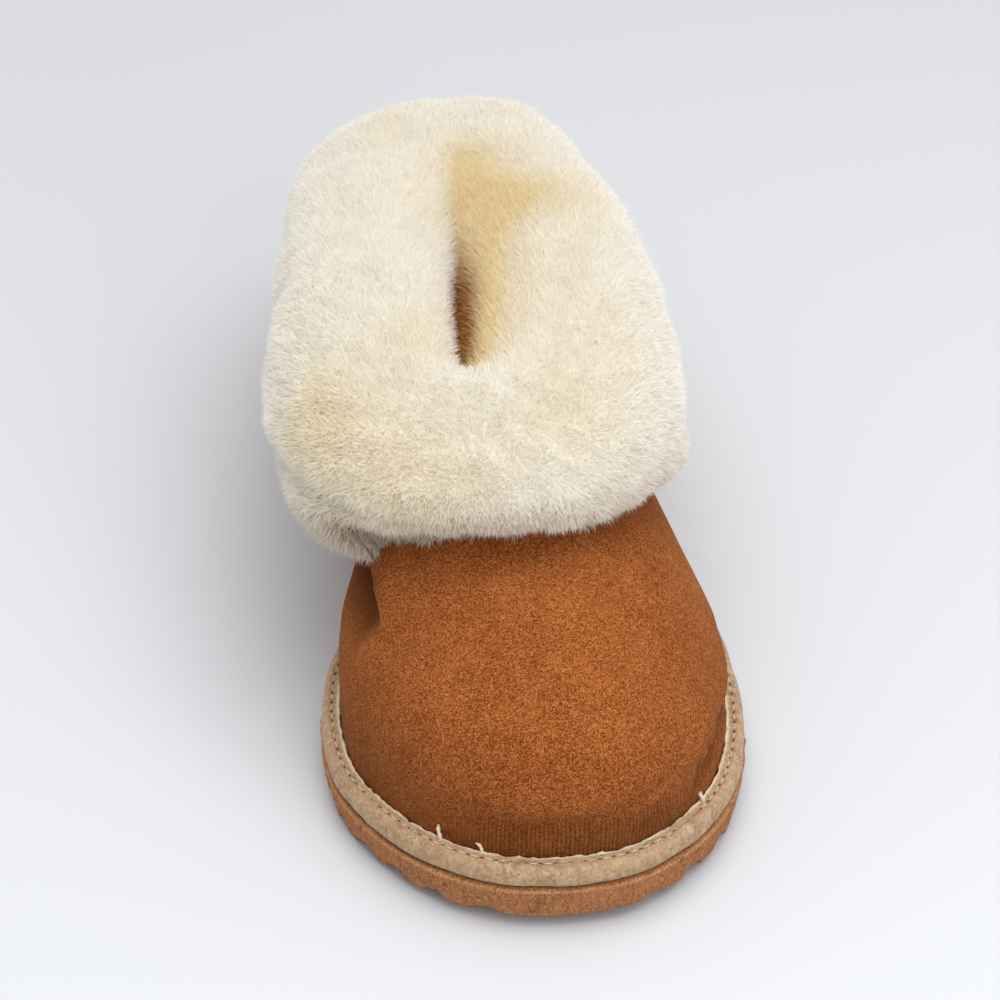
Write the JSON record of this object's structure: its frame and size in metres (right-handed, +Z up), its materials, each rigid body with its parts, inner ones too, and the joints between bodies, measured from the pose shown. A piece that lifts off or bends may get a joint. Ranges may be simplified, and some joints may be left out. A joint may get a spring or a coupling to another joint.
{
  "type": "sheepskin slipper",
  "caption": "Left sheepskin slipper: chestnut suede upper, turned-down cream fleece cuff, beige wrapped midsole with a raised lip, and a rippled tan foam-rubber outsole.",
  "frame": {"origin": "on the floor plane under the middle of the sole, on a flat tread land", "axes": "+Z up, -Y towards the toe, +X towards the outer side of the left foot"},
  "size_m": [0.1196, 0.2675, 0.1114],
  "materials": {
    "outsole": "trimmed tan foam rubber, matte, finely scored sides",
    "midsole": "beige suede wrap, matte, stitched lip",
    "insole": "short sheared wool",
    "upper": "chestnut suede side of sheepskin, matte nap",
    "cuff": "cream sheepskin wool, thick and fluffy"
  },
  "bodies": {
    "root": {"outsole": "outsole", "midsole": "midsole", "insole": "insole", "upper": "upper", "cuff": "cuff"}
  },
  "joints": []
}
